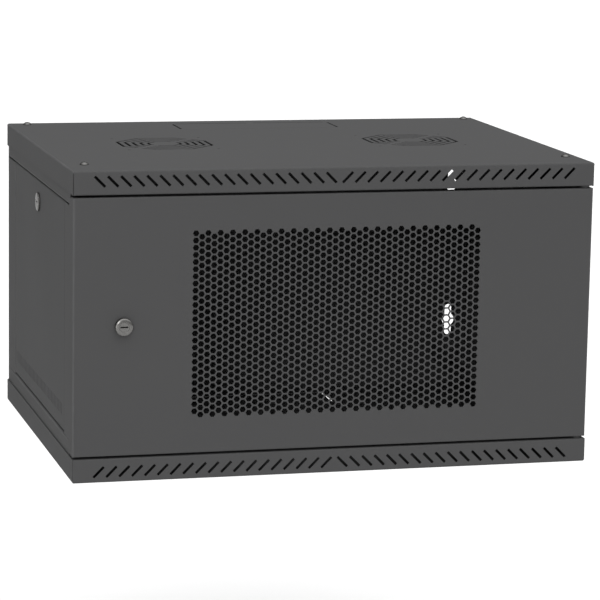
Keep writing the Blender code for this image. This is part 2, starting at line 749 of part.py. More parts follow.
def channels(parts, cutters):
    """Slotted channels from front to rear that carry the equipment rails."""
    inner, outer = CHANNEL_X[0] + SHEET / 2, CHANNEL_X[1]
    reach = CHANNEL_H / 2 - SHEET / 2
    for label, side in (("left", -1), ("right", 1)):
        for level, z in zip(("lower", "upper"), CHANNEL_Z):
            path = [(outer, z + reach), (inner, z + reach), (inner, z - reach), (outer, z - reach)]
            name = "channel_%s_%s" % (level, label)
            item = fold(name, flip(path, side), "Y", FRONT + SHEET + GAP, BACK, parts)
            long_slot = RAIL_TRAVEL + 0.009
            slots = [rounded_slot(BOLT_Y + RAIL_TRAVEL / 2, z, long_slot, 0.0072),
                     rounded_slot(-BOLT_Y - RAIL_TRAVEL / 2, z, long_slot, 0.0072)]
            xs = sorted((side * (inner - 0.004), side * (inner + 0.004)))
            punch = plate(name + "_slots", slots, "X", xs[0], xs[1], cutters)
            boolean(item, punch, "DIFFERENCE", cutters)
            paint(item, GREY, 0.5, 0.0)


def rail_fasteners(parts):
    """A bolt and a nut where each equipment rail crosses a channel."""
    flange = CHANNEL_X[0] - 0.00035 - RAIL_T
    for label, side in (("left", -1), ("right", 1)):
        turn = (0, -side * math.pi / 2, 0)
        for level, z in zip(("lower", "upper"), CHANNEL_Z):
            seat = (side * (flange - GAP), BOLT_Y, z)
            bolt = turned("rail_bolt_%s_%s" % (level, label),
                          [(0, 0.0038), (0.0035, 0.0036), (0.0055, 0.0022), (0.0058, 0),
                           (0.0030, 0), (0.0030, -0.0120), (0, -0.0120)], turn, seat, parts)
            paint(bolt, ZINC, 0.35, 1.0)
            outlines = [regular(0, 0, 0.0058, 6), regular(0, 0, 0.0034, 12)]
            nut = plate("rail_nut_%s_%s" % (level, label), outlines, "Z", -0.0050, 0.0, parts)
            nut.location = (side * (CHANNEL_X[0] + SHEET + GAP), BOLT_Y, z)
            nut.rotation_euler = turn
            paint(nut, ZINC, 0.4, 1.0)


# ---- corner screws ----
def corner_screws(parts):
    """Domed screws down through the top panel, flat ones down into the bottom."""
    names = ("front_left", "front_right", "rear_left", "rear_right")
    dome = [(0, 0.0030), (0.0020, 0.0028), (0.0038, 0.0020), (0.0048, 0.0008), (0.0050, 0),
            (SCREW_R, 0), (SCREW_R, -0.0090), (0, -0.0090)]
    pan = [(0, 0.0024), (0.0036, 0.0024), (0.0044, 0.0015), (0.0045, 0), (SCREW_R, 0),
           (SCREW_R, -0.0029), (0, -0.0029)]
    seat = BOTTOM_RAIL[0] + SHEET + GAP
    for name, (x, y) in zip(names, CORNER_SCREWS):
        screw = turned("screw_top_" + name, dome, (0, 0, 0), (x, y, HEIGHT + GAP), parts)
        paint(screw, NICKEL, 0.22, 1.0)
        screw = turned("screw_bottom_" + name, pan, (0, 0, 0), (x, y, seat), parts, steps=12)
        paint(screw, ZINC, 0.35, 1.0)


def main():
    clear()
    parts = collection("network_wall_cabinet")
    cutters = collection("cutters")
    cap("top_panel", True, parts, cutters)
    cap("bottom_panel", False, parts, cutters)
    side_rails(parts, cutters)
    posts(parts)
    rear_panel(parts)
    channels(parts, cutters)
    door(parts, cutters)
    sheet_face = -DEPTH / 2
    lock("door", (DOOR_LOCK[0], sheet_face, DOOR_LOCK[1]), DOOR_LOCK_R, 0.0065, 0.0272, parts, cutters)
    door_cam(parts)
    hinge(parts, cutters)
    for label, side in (("left", -1), ("right", 1)):
        side_panel(label, side, parts, cutters)
        face = side * (SIDE - 0.0002)
        lock(label, (face, *SIDE_LOCK), SIDE_LOCK_R, 0.0025, 0.0108, parts, cutters)
        side_cam(label, side, parts)
        equipment_rail(label, side, parts, cutters)
    rail_fasteners(parts)
    corner_screws(parts)


main()
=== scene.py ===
import json
import math

import bmesh
import bpy
from mathutils import Matrix, Vector


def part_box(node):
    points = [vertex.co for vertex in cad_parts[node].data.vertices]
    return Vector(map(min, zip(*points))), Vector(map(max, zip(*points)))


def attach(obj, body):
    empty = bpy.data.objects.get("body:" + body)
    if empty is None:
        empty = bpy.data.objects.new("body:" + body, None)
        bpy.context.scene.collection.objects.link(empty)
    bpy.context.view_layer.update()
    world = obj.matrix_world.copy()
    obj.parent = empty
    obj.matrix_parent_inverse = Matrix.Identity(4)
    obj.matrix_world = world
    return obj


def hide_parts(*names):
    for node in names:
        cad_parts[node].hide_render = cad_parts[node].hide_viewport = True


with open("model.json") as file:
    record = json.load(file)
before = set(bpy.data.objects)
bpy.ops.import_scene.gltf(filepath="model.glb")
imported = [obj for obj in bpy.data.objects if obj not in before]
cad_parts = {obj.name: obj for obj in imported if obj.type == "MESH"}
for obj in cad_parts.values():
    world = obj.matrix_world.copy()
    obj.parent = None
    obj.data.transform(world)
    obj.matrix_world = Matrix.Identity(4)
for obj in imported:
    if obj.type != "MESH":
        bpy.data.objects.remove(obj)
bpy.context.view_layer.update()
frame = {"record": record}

# ---- sheet metal ----
SHEET = 0.0012                # of most pieces
THIN = 0.0010                 # of the side panels and the rear panel
BEND = 0.0024                 # at the middle of the sheet
RIM = 0.00015                 # rounding of cut edges
SEAM = 0.00035                # open seam where two of a pan's folds meet
CAP_SEAMS = {True: 0.0008, False: 0.0003}   # the same at the top and bottom panels' corners
GAP = 0.0003                  # between pieces that would touch

# ---- places that several pieces share ----
HINGE = (0.2915, -0.217)
CORNER_SCREWS = {"front_left": (-0.278, -0.172), "front_right": (0.284, -0.172),
                 "rear_left": (-0.278, 0.208), "rear_right": (0.284, 0.208)}
SCREW_HOLE = 0.0027
PIN_HOLE = 0.0028
LOCK_HOLE = 0.0084
DOOR_LOCK = (-0.2437, 0.1753)         # X and Z
SIDE_LOCK = (0.005, 0.2820)           # Y and Z
BOLT_Y = -0.145
CHANNEL_Z = {"lower": 0.046, "upper": 0.302}
SIDES = {"left": -1, "right": 1}


# ---- small geometry ----
def circle(u, v, radius, steps=24):
    """Points of a circle in a plane."""
    turn = 2 * math.pi / steps
    return [(u + radius * math.cos(k * turn), v + radius * math.sin(k * turn))
            for k in range(steps)]


def arc(u, v, radius, start, sweep, steps):
    """Points along an arc in a plane."""
    turns = [start + sweep * k / steps for k in range(steps + 1)]
    return [(u + radius * math.cos(turn), v + radius * math.sin(turn)) for turn in turns]


def oblong(u, v, length, width, angle=0.0, corner=None, steps=3):
    """A slot with rounded corners, turned about its middle."""
    corner = width / 2 if corner is None else corner
    cos, sin = math.cos(angle), math.sin(angle)
    points = []
    for quarter, (a, b) in enumerate(((1, 1), (-1, 1), (-1, -1), (1, -1))):
        for k in range(steps + 1):
            turn = math.pi / 2 * (quarter + k / steps)
            x = a * (length / 2 - corner) + corner * math.cos(turn)
            y = b * (width / 2 - corner) + corner * math.sin(turn)
            points.append((u + x * cos - y * sin, v + x * sin + y * cos))
    return tidy_loop(points)


def tidy_loop(points, near=1e-6):
    """The loop without points that fall on the one before."""
    kept = []
    for point in points:
        if not kept or math.dist(point, kept[-1]) > near:
            kept.append(point)
    if math.dist(kept[0], kept[-1]) <= near:
        kept.pop()
    return kept


def band(path, width):
    """The outline of an open path of even width with mitred corners."""
    left, right = [], []
    for k, point in enumerate(path):
        ahead = Vector(path[min(k + 1, len(path) - 1)]) - Vector(path[min(k, len(path) - 2)])
        behind = Vector(path[max(k, 1)]) - Vector(path[max(k - 1, 0)])
        ahead, behind = ahead.normalized(), behind.normalized()
        normal = Vector((-ahead.y - behind.y, ahead.x + behind.x)).normalized()
        reach = width / 2 / normal.dot(Vector((-behind.y, behind.x)))
        left.append((point[0] + normal.x * reach, point[1] + normal.y * reach))
        right.append((point[0] - normal.x * reach, point[1] - normal.y * reach))
    return left + right[::-1]


def keyhole(u, v, hole=0.008, neck=0.0045, reach=0.0199, steps=8):
    """A round hole with a slot above and one below, to hang on a wall screw."""
    lean = math.asin(neck / hole)
    half = arc(0, 0, hole, lean - math.pi / 2, math.pi - 2 * lean, steps)
    half += arc(0, reach - neck, neck, 0, math.pi, steps)
    return tidy_loop([(u + sign * x, v + sign * y) for sign in (1, -1) for x, y in half])


def across(axis, u, v, w):
    """The point with u and v across an axis, in order, and w along it."""
    return {"X": Vector((w, u, v)), "Y": Vector((u, w, v)), "Z": Vector((u, v, w))}[axis]


def plane_frame(origin, right, up):
    """The matrix of a plane's own frame: u to the right, v up, w out of it."""
    right, up = Vector(right), Vector(up)
    out = right.cross(up)
    return Matrix((
        (right.x, up.x, out.x, origin[0]), (right.y, up.y, out.y, origin[1]),
        (right.z, up.z, out.z, origin[2]), (0, 0, 0, 1)))


# ---- meshes ----
def placed(name, data):
    """A new object in the scene."""
    item = bpy.data.objects.new(name, data)
    bpy.context.scene.collection.objects.link(item)
    return item


def make(name, bm, matrix=None):
    """A new object from a mesh in hand, with the matrix worked into the mesh."""
    if matrix is not None:
        bm.transform(matrix)
    mesh = bpy.data.meshes.new(name)
    bm.to_mesh(mesh)
    bm.free()
    return placed(name, mesh)


def applied(item):
    """Works the item's modifiers into its mesh."""
    bpy.context.view_layer.update()
    graph = bpy.context.evaluated_depsgraph_get()
    mesh = bpy.data.meshes.new_from_object(item.evaluated_get(graph),
                                           preserve_all_data_layers=True, depsgraph=graph)
    item.modifiers.clear()
    item.data = mesh
    return item


def loop_edges(bm, points):
    """The closed chain of edges through 3D points."""
    verts = [bm.verts.new(point) for point in points]
    return [bm.edges.new(pair) for pair in zip(verts, verts[1:] + verts[:1])]


def outline_edges(bm, outlines):
    """The edges of several outlines in the mesh's own level plane."""
    edges = []
    for outline in outlines:
        edges += loop_edges(bm, [(u, v, 0) for u, v in outline])
    return edges


def chain(bm, verts):
    """The edges round a closed chain of vertices, made where they are missing."""
    return [bm.edges.get(pair) or bm.edges.new(pair)
            for pair in zip(verts, verts[1:] + verts[:1])]


def cover(bm, edges):
    """Fills a flat outline, leaving the holes that lie in it."""
    bmesh.ops.triangle_fill(bm, use_beauty=True, use_dissolve=False, edges=edges)


def thicken(item, thickness, offset=-1.0):
    """Gives a skin its thickness, inwards, or both ways with an offset of nought."""
    solid = item.modifiers.new("thickness", "SOLIDIFY")
    solid.thickness = thickness
    solid.offset = offset
    solid.use_even_offset = True
    solid.use_quality_normals = True
    return applied(item)


def cut(item, tool, operation="DIFFERENCE"):
    """A boolean with another object, which is then gone."""
    change = item.modifiers.new("cut", "BOOLEAN")
    change.operation = operation
    change.object = tool
    change.solver = "EXACT"
    applied(item)
    bpy.data.objects.remove(tool)
    return item


def smooth(item, rim=RIM, segments=1, angle=50):
    """Rounds the cut edges and shades the bends smooth and the flats flat."""
    if rim:
        bevel = item.modifiers.new("rims", "BEVEL")
        bevel.width = rim
        bevel.segments = segments
        bevel.limit_method = "ANGLE"
        bevel.angle_limit = math.radians(angle)
        bevel.use_clamp_overlap = False
        applied(item)
    for polygon in item.data.polygons:
        polygon.use_smooth = True
    item.data.set_sharp_from_angle(angle=math.radians(40))
    even = item.modifiers.new("normals", "WEIGHTED_NORMAL")
    even.mode = "FACE_AREA"
    even.keep_sharp = True
    return applied(item)


def block(name, low, high):
    """A plain block, used only as a cutting tool."""
    bm = bmesh.new()
    bmesh.ops.create_cube(bm, size=1.0)
    bmesh.ops.scale(bm, vec=Vector(high) - Vector(low), verts=bm.verts)
    bmesh.ops.translate(bm, vec=(Vector(high) + Vector(low)) / 2, verts=bm.verts)
    return make(name, bm)


def prism(name, outline, low, high, matrix, taper=1.0):
    """A solid with one outline, from low to high; its low end may be smaller."""
    bm = bmesh.new()
    base = [bm.verts.new((u * taper, v * taper, low)) for u, v in outline]
    top = [bm.verts.new((u, v, high)) for u, v in outline]
    bm.faces.new(base[::-1])
    bm.faces.new(top)
    for k in range(len(base)):
        n = (k + 1) % len(base)
        bm.faces.new((base[k], base[n], top[n], top[k]))
    bmesh.ops.recalc_face_normals(bm, faces=bm.faces)
    item = make(name, bm)
    item.matrix_world = matrix
    return item


def plate(name, outlines, thickness, matrix, rim=RIM, segments=1):
    """A flat piece with holes; its outer face lies in the matrix's plane."""
    bm = bmesh.new()
    cover(bm, outline_edges(bm, outlines))
    for face in bm.faces:
        if face.normal.z < 0:
            face.normal_flip()
    item = thicken(make(name, bm, matrix), thickness)
    return smooth(item, rim, segments)


def turned(name, profile, matrix, steps=48, closed=False):
    """A turned piece about its own Z axis, from radius and height down its side."""
    bm = bmesh.new()
    rings = []
    for radius, height in profile:
        if radius == 0:
            rings.append([bm.verts.new((0, 0, height))])
            continue
        rings.append([bm.verts.new((*point, height)) for point in circle(0, 0, radius, steps)])
    pairs = list(zip(rings, rings[1:]))
    if closed:
        pairs.append((rings[-1], rings[0]))
    for upper, lower in pairs:
        for k in range(steps):
            n = (k + 1) % steps
            corners = [upper[k % len(upper)], upper[n % len(upper)],
                       lower[n % len(lower)], lower[k % len(lower)]]
            bm.faces.new(list(dict.fromkeys(corners)))
    bmesh.ops.recalc_face_normals(bm, faces=bm.faces)
    item = make(name, bm)
    item.matrix_world = matrix
    return item


# ---- folded sheet ----
def mark_bend(bm, verts, inside):
    """Notes on the mesh which of its vertices lie inside a bend."""
    layer = bm.verts.layers.float["bend"]
    for vert in verts:
        vert[layer] = float(inside)


def new_sheet():
    """An empty mesh that can note its bends."""
    bm = bmesh.new()
    bm.verts.layers.float.new("bend")
    return bm


def reach(half, bend, depth):
    """How far a tray's outer face reaches sideways at a depth below its face."""
    if depth >= bend:
        return half
    return half - bend + math.sqrt(bend ** 2 - (bend - depth) ** 2)


def tray(bm, half, depth, bends, face_edges=(), skirts=None, steps=5):
    """The outer skin of a tray: a face, four bends and four skirts.

    skirts maps a side, counted from the low one to the right, high and left one,
    to a function that gives its hole edges and the extra points of its rim.
    """
    widest = max(bends)
    depths = [widest * (1 - math.cos(math.pi / 2 * k / steps)) for k in range(steps + 1)]
    rings = []
    for k, level in enumerate(depths + [depth]):
        u, v = reach(half[0], bends[0], level), reach(half[1], bends[1], level)
        rings.append([bm.verts.new((a * u, b * v, -level))
                      for a, b in ((-1, -1), (1, -1), (1, 1), (-1, 1))])
        mark_bend(bm, rings[-1], 0 < k < steps)
    for upper, lower in zip(rings, rings[1:]):
        for side in range(4):
            n = (side + 1) % 4
            if lower is rings[-1] and skirts and side in skirts:
                holes, extra = skirts[side](bm)
                rim = [upper[side], upper[n], lower[n], *extra, lower[side]]
                cover(bm, chain(bm, rim) + holes)
            else:
                bm.faces.new((upper[side], lower[side], lower[n], upper[n]))
    cover(bm, chain(bm, rings[0]) + list(face_edges))


def outward(bm):
    """Turns the faces of a tray's skin out of the tray."""
    bmesh.ops.recalc_face_normals(bm, faces=bm.faces)
    lean = sum(face.normal.z * face.calc_area() for face in bm.faces)
    if lean < 0:
        bmesh.ops.reverse_faces(bm, faces=bm.faces)


def corner_seams(name, half, start, depth, width=SEAM):
    """Blades that open the seam down each corner of a tray's skirts."""
    bm = bmesh.new()
    for a, b in ((-1, -1), (1, -1), (1, 1), (-1, 1)):
        made = bmesh.ops.create_cube(bm, size=1.0)["verts"]
        size = (0.008, width, depth - start + 0.002)
        bmesh.ops.scale(bm, vec=size, verts=made)
        turn = Matrix.Rotation(math.atan2(b, a), 4, "Z")
        middle = Matrix.Translation((a * half[0], b * half[1], -(start + depth + 0.002) / 2))
        bmesh.ops.transform(bm, matrix=middle @ turn, verts=made)
    return make(name, bm)


def folded(name, path, axis, start, end, holes=None, thickness=SHEET, radius=BEND, steps=5):
    """A folded strip: the middle of its section, run along an axis.

    holes maps a straight run of the path to the 3D outlines of the holes in it.
    """
    points, straight, curved = [Vector(path[0])], [], set()
    for before, corner, after in zip(path, path[1:], path[2:]):
        corner = Vector(corner)
        back = (Vector(before) - corner).normalized()
        on = (Vector(after) - corner).normalized()
        half = back.angle(on) / 2
        centre = corner + (back + on).normalized() * (radius / math.sin(half))
        first = corner + back * (radius / math.tan(half))
        last = corner + on * (radius / math.tan(half))
        straight.append(len(points) - 1)
        spread = math.pi - 2 * half
        for k in range(steps + 1):
            share = math.sin(spread * k / steps), math.sin(spread * (1 - k / steps))
            spoke = ((last - centre) * share[0] + (first - centre) * share[1]) / math.sin(spread)
            if 0 < k < steps:
                curved.add(len(points))
            points.append(centre + spoke)
    straight.append(len(points) - 1)
    points.append(Vector(path[-1]))
    bm = new_sheet()
    pairs = [[bm.verts.new(across(axis, *point, w)) for w in (start, end)] for point in points]
    for k, pair in enumerate(pairs):
        mark_bend(bm, pair, k in curved)
    for k, (one, two) in enumerate(zip(pairs, pairs[1:])):
        run = straight.index(k) if k in straight else None
        if holes and run in holes:
            edges = chain(bm, [one[0], one[1], two[1], two[0]])
            for outline in holes[run]:
                edges += loop_edges(bm, outline)
            cover(bm, edges)
        else:
            bm.faces.new((one[0], one[1], two[1], two[0]))
    bmesh.ops.recalc_face_normals(bm, faces=bm.faces)
    return smooth(thicken(make(name, bm), thickness, offset=0.0))


# ---- materials ----
class Nodes:
    """Short names for building the nodes of a material or of the world."""

    def __init__(self, owner, shader="Principled BSDF"):
        owner.use_nodes = True
        self.owner = owner
        self.tree = owner.node_tree
        self.shader = self.tree.nodes[shader]
        self.places = self.add("ShaderNodeTexCoord").outputs

    def feed(self, source, socket):
        """Links an output, or sets a value."""
        if isinstance(source, bpy.types.NodeSocket):
            self.tree.links.new(source, socket)
        else:
            socket.default_value = source

    def give(self, name, source):
        """Feeds one of the shader's own sockets."""
        self.feed(source, self.shader.inputs[name])

    def add(self, kind, inputs=None, **settings):
        """A new node with its settings, and what each of its inputs is fed."""
        node = self.tree.nodes.new(kind)
        for key, value in settings.items():
            setattr(node, key, value)
        for key, source in (inputs or {}).items():
            self.feed(source, node.inputs[key])
        return node

    def split(self, place):
        """The X, Y and Z outputs of a texture place."""
        return self.add("ShaderNodeSeparateXYZ", {0: self.places[place]}).outputs

    def noise(self, scale, detail=2.0, roughness=0.5):
        return self.add("ShaderNodeTexNoise", {
            "Vector": self.places["Object"], "Scale": scale, "Detail": detail,
            "Roughness": roughness}).outputs["Fac"]

    def span(self, source, low, high, start=0.3, end=0.7):
        """Maps the usual range of a noise to another range."""
        return self.add("ShaderNodeMapRange", {
            "Value": source, "From Min": start, "From Max": end, "To Min": low,
            "To Max": high}).outputs["Result"]

    def math(self, operation, *values):
        inputs = dict(enumerate(values))
        return self.add("ShaderNodeMath", inputs, operation=operation).outputs[0]

    def blend(self, share, one, two):
        """A colour between two, by a share."""
        one, two = ((*side, 1.0) if isinstance(side, tuple) else side for side in (one, two))
        inputs = {"Factor": share, "A": one, "B": two}
        return self.add("ShaderNodeMix", inputs, data_type="RGBA").outputs["Result"]

    def bump(self, height, strength, distance, under=None):
        inputs = {"Height": height, "Strength": strength, "Distance": distance}
        if under is not None:
            inputs["Normal"] = under
        return self.add("ShaderNodeBump", inputs).outputs["Normal"]


COAT_TONE = 0.0578            # its mean colour
COAT_ROUGH, COAT_ROUGH_SPREAD = 0.66, 0.03
COAT_SPECULAR = 0.03
CLOUD_TINTS = (0.97, 0.97, 0.985), (1.01, 1.01, 1.02)
GRAIN_TINTS = (0.90, 0.90, 0.91), (1.10, 1.10, 1.11)
GRAIN_SHARE = 0.45
BEND_HIGHLIGHT_TINT = (1.45, 1.45, 1.4645)       # painted highlight: the coat is made lighter on bends that face left or right


def coat(tint):
    """A colour from the coat's tone and a tint."""
    return tuple(COAT_TONE * part for part in tint)


def powder_coat():
    """Fine-textured dark grey powder coat, with a painted highlight on the bends that face left or
    right.
    """
    n = Nodes(bpy.data.materials.new("powder_coat"))
    cloud = n.span(n.noise(5.0, 3.0), 0.0, 1.0)
    grain = n.span(n.noise(1400.0, 2.0, 0.6), 0.0, 1.0)
    peel = n.noise(420.0, 1.0)
    base = n.blend(cloud, *map(coat, CLOUD_TINTS))
    light = n.blend(grain, *map(coat, GRAIN_TINTS))
    mixed = n.blend(GRAIN_SHARE, base, light)
    # painted highlight: a lighter colour on the bends that face left or right, varied by a noise
    bend_highlight = n.math("MULTIPLY", painted_bend_highlight(n), n.span(n.noise(38.0, 3.0), 0.6, 1.0))
    n.give("Base Color", n.blend(bend_highlight, mixed, coat(BEND_HIGHLIGHT_TINT)))
    spread = COAT_ROUGH_SPREAD
    rough = n.span(cloud, COAT_ROUGH - spread, COAT_ROUGH + spread, 0.0, 1.0)
    n.give("Roughness", n.math("ADD", n.span(grain, -spread, spread, 0.0, 1.0), rough))
    n.give("Metallic", 0.0)
    n.give("Specular IOR Level", COAT_SPECULAR)
    n.give("Normal", n.bump(grain, 0.10, 0.00004, n.bump(peel, 0.12, 0.00012)))
    return n.owner


def painted_bend_highlight(n):
    """The mask of the painted highlight: one on a marked bend that faces left or right, falling to
    nought elsewhere.
    """
    bend = n.add("ShaderNodeAttribute", attribute_name="bend").outputs["Fac"]
    level = n.math("MULTIPLY", n.math("ABSOLUTE", n.split("Normal")["X"]), 1.4)
    return n.math("MULTIPLY", bend, n.math("MINIMUM", level, 1.0))


def radius_of(n):
    """The distance from a turned piece's own Z axis."""
    parts = n.split("Object")
    squares = [n.math("MULTIPLY", parts[axis], parts[axis]) for axis in "XY"]
    return n.math("SQRT", n.math("ADD", *squares))


TURNING_PITCH = 0.00035       # of the marks that a lathe leaves
ROUGH_RANGE = 0.10            # from clean metal to stained metal
EDGE_TINT = (0.65, 0.65, 0.65, 1.0)    # how much of a grazing reflection the plating keeps


def metal(name, colour, stain, rough, marks):
    """A plated metal with turning marks round its own axis and faint stains."""
    n = Nodes(bpy.data.materials.new(name))
    cloud = n.span(n.noise(260.0, 4.0, 0.6), 0.0, 1.0)
    speck = n.span(n.noise(3200.0, 2.0, 0.6), 0.0, 1.0)
    n.give("Base Color", n.blend(n.math("MULTIPLY", cloud, 0.6), colour, stain))
    n.give("Metallic", 1.0)
    n.give("Specular Tint", EDGE_TINT)
    n.give("Roughness", n.math("ADD", n.span(cloud, rough, rough + ROUGH_RANGE, 0.0, 1.0),
                               n.span(speck, -0.03, 0.03, 0.0, 1.0)))
    turning = n.math("SINE", n.math("MULTIPLY", radius_of(n), 2 * math.pi / TURNING_PITCH))
    n.give("Normal", n.bump(speck, 0.15, 0.00002, n.bump(turning, marks, 0.00002)))
    return n.owner


SLOT_MATERIAL = {
    "powder_coat": powder_coat(),
    "nickel": metal("nickel", (0.165, 0.163, 0.158), (0.125, 0.122, 0.118), 0.22, 0.12),
    "zinc": metal("zinc", (0.36, 0.37, 0.38), (0.28, 0.285, 0.28), 0.30, 0.08)}
STEEL = metal("screw_steel", (0.105, 0.104, 0.102), (0.075, 0.074, 0.072), 0.16, 0.10)


def body_of(node):
    """The body that a CAD node rides on."""
    bodies = frame["record"]["behaviour"]["bodies"]
    return next(body for body, nodes in bodies.items() if node in nodes)


def stand_for(item, node, slot, material=None):
    """Gives a finished piece its material, its body and the node it stands for."""
    item.data.materials.clear()
    item.data.materials.append(material or SLOT_MATERIAL[slot])
    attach(item, body_of(node))
    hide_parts(node)


# ---- the two caps ----
CHEVRONS = 19
CHEVRON_FIRST, CHEVRON_PITCH = 0.0094, 0.0145
CHEVRON_SIZE = (0.0165, 0.0030)
CHEVRON_DEPTH = 0.012
FOLD_END = 0.207              # where the strip folded in from the front skirt ends, along Y
FOLD_BEND = 0.0016
CAP_BENDS, CAP_SEAM_START = (0.0025, 0.0025), 0.0030
ENTRY_X, ENTRY_Y = 0.099, (0.139, 0.195)
ENTRY_TAB = 0.004
ENTRY_SLITS = {"side": 0.0026, "front": 0.0010, "rear": 0.0030}
FAN_X, FAN_Y = 0.150, 0.003
FAN_RINGS, RING_FIRST, RING_PITCH = 5, 0.0185, 0.0085
RING_WIDTH, RING_WEB = 0.0036, 0.006
FAN_SCREW = (0.0525, 0.0017)  # distance from the middle either way, and radius
OCTAGON = [(math.cos(turn) / math.cos(math.pi / 8), math.sin(turn) / math.cos(math.pi / 8))
           for turn in (math.pi / 8 * k for k in range(1, 17, 2))]


def fan_grille(x, y):
    """Octagonal rings of slots, parted by a web from the front left to the rear right."""
    outlines = []
    for ring in range(FAN_RINGS):
        out = RING_FIRST + ring * RING_PITCH
        corners = [(out * u, out * v) for u, v in OCTAGON[1:5]]
        side, web = out * math.sqrt(0.5), RING_WEB / 2 * math.sqrt(0.5)
        half = [(side - web, side + web), *corners, (-side - web, -side + web)]
        for sign in (-1, 1):
            outlines.append(band([(x + sign * u, y + sign * v) for u, v in half], RING_WIDTH))
    out, radius = FAN_SCREW
    return outlines + [circle(x + u * out, y + v * out, radius, 16)
                       for u in (-1, 1) for v in (-1, 1)]


def entry_slits():
    """Slits round the cable entry's knock-out plate, which hangs on small tabs."""
    low, high = ENTRY_Y
    outlines = []
    for side in (-1, 1):
        length = high - low - 2 * ENTRY_TAB + 0.002
        outlines.append(oblong(side * ENTRY_X, (low + high) / 2, length, ENTRY_SLITS["side"],
                               math.pi / 2))
        for edge, y in (("front", low), ("rear", high)):
            length = ENTRY_X - 2 * ENTRY_TAB
            outlines.append(oblong(side * ENTRY_X / 2, y, length, ENTRY_SLITS[edge]))
    return outlines


def cap(node, top):
    """The top or bottom panel, a tray with a strip folded in at its front."""
    low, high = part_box(node)
    half = (high.x, high.y)
    depth = high.z - low.z
    face = high.z if top else low.z
    front = -1 if top else 1           # the front skirt's side along v
    place = plane_frame((0, 0, face), (1, 0, 0), (0, -front, 0))
    holes = [circle(x, -front * y, SCREW_HOLE) for x, y in CORNER_SCREWS.values()]
    holes += [[(u, -front * v) for u, v in outline] for outline in entry_slits()]
    if top:
        holes += [hole for x in (-FAN_X, FAN_X) for hole in fan_grille(x, FAN_Y)]
    inset = half[0] - SHEET - 2 * GAP
    bent = depth - FOLD_BEND

    def front_skirt(bm):
        edges = []
        for k in range(CHEVRONS):
            for side in (-1, 1):
                u = side * (CHEVRON_FIRST + k * CHEVRON_PITCH)
                outline = oblong(u, -CHEVRON_DEPTH, *CHEVRON_SIZE, side * math.pi / 4, 0.0005, 2)
                edges += loop_edges(bm, [(a, front * half[1], b) for a, b in outline])
        ends = [(-front * inset, -depth), (-front * inset, -bent), (front * inset, -bent),
                (front * inset, -depth)]
        rim = [bm.verts.new((u, front * half[1], w)) for u, w in ends]
        fold_strip(bm, rim[1:3], front, half[1], depth)
        return edges, rim

    bm = new_sheet()
    tray(bm, half, depth, CAP_BENDS, outline_edges(bm, holes), {0 if top else 2: front_skirt})
    outward(bm)
    item = thicken(make(node + "_sheet", bm), SHEET)
    cut(item, corner_seams(node + "_seams", half, CAP_SEAM_START, depth, CAP_SEAMS[top]))
    item.data.transform(place)
    stand_for(smooth(item), node, "powder_coat")


def fold_strip(bm, corners, front, half_depth, depth, steps=4):
    """The strip that is folded in from the rim of the front skirt."""
    previous = corners
    for k in range(1, steps + 1):
        turn = math.pi / 2 * k / steps
        v = front * (half_depth - FOLD_BEND * (1 - math.cos(turn)))
        w = -(depth - FOLD_BEND) - FOLD_BEND * math.sin(turn)
        row = [bm.verts.new((vert.co.x, v, w)) for vert in corners]
        bm.faces.new((previous[0], previous[1], row[1], row[0]))
        previous = row
    last = [bm.verts.new((vert.co.x, front * FOLD_END, -depth)) for vert in corners]
    hole = [(u, v, -depth) for u, v in circle(HINGE[0], front * -HINGE[1], PIN_HOLE)]
    edges = chain(bm, [previous[0], previous[1], last[1], last[0]]) + loop_edges(bm, hole)
    cover(bm, edges)


# ---- door ----
HEX_FLATS, HEX_PITCH = 0.0063, 0.0080
HEX_COLUMNS, HEX_ROWS = 48, 26
FIELD_Z = 0.1749
DOOR_BENDS = (0.0030, 0.0015)  # at its two sides, and at its top and bottom
DOOR_SEAM_START = 0.0045      # this far below its face
HINGE_DEPTH = 0.017           # of the fold beside the hinge
EDGE_DEPTH = 0.0125           # of the folds along the top and the bottom


def honeycomb(bm, middle):
    """Six-sided holes, each in its own ring of sheet; the rings meet edge to edge."""
    shared = {}
    step = HEX_PITCH * math.sqrt(3) / 2
    for column in range(HEX_COLUMNS):
        u = (column - (HEX_COLUMNS - 1) / 2) * step
        shift = HEX_PITCH / 4 if column % 2 == 0 else -HEX_PITCH / 4
        for row in range(HEX_ROWS):
            v = middle + shift + (row - (HEX_ROWS - 1) / 2) * HEX_PITCH
            hole = [bm.verts.new((*point, 0))
                    for point in circle(u, v, HEX_FLATS / math.sqrt(3), 6)]
            cell = []
            for point in circle(u, v, HEX_PITCH / math.sqrt(3), 6):
                key = (round(point[0] * 1e5), round(point[1] * 1e5))
                if key not in shared:
                    shared[key] = bm.verts.new((*point, 0))
                cell.append(shared[key])
            for k in range(6):
                n = (k + 1) % 6
                bm.faces.new((cell[k], cell[n], hole[n], hole[k]))
    outer = set(shared.values())
    return [edge for edge in bm.edges
            if len(edge.link_faces) == 1 and edge.verts[0] in outer and edge.verts[1] in outer]


